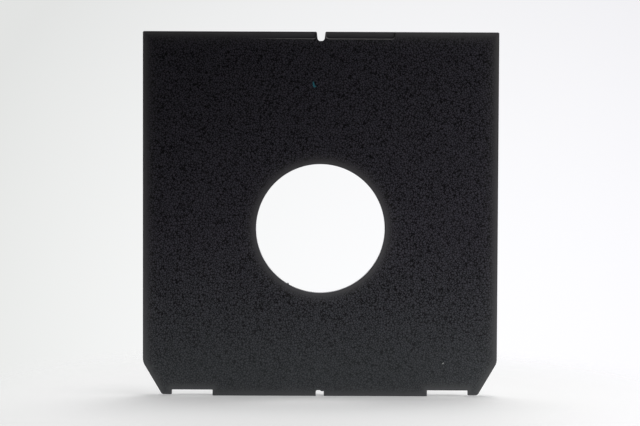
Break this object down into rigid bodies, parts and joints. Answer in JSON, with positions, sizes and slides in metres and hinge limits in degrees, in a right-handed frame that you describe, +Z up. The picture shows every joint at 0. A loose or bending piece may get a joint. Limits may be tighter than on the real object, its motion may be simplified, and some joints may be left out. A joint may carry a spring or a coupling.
{
  "type": "lens board",
  "caption": "Flat black lens board with a round shutter hole, top notch and recesses, bottom cut-outs, sloping corners and a square light trap behind.",
  "frame": {"origin": "on the bottom edge, under the middle of the width and of the whole depth", "axes": "+X across the board to the right as seen from the front, -Y out of the front face, +Z up towards the edge with the two recesses"},
  "size_m": [0.096, 0.0044, 0.0985],
  "materials": {
    "wrinkle_enamel": "black baked wrinkle enamel on aluminium plate",
    "matt_black_enamel": "matt black enamel on aluminium",
    "blackened_steel": "black-oxide steel, satin"
  },
  "bodies": {
    "root": {"board_plate": "wrinkle_enamel", "light_trap_frame": "matt_black_enamel", "frame_screw_top_left": "blackened_steel", "frame_screw_top": "blackened_steel", "frame_screw_top_right": "blackened_steel", "frame_screw_right": "blackened_steel", "frame_screw_bottom_right": "blackened_steel", "frame_screw_bottom": "blackened_steel", "frame_screw_bottom_left": "blackened_steel", "frame_screw_left": "blackened_steel"}
  },
  "joints": []
}
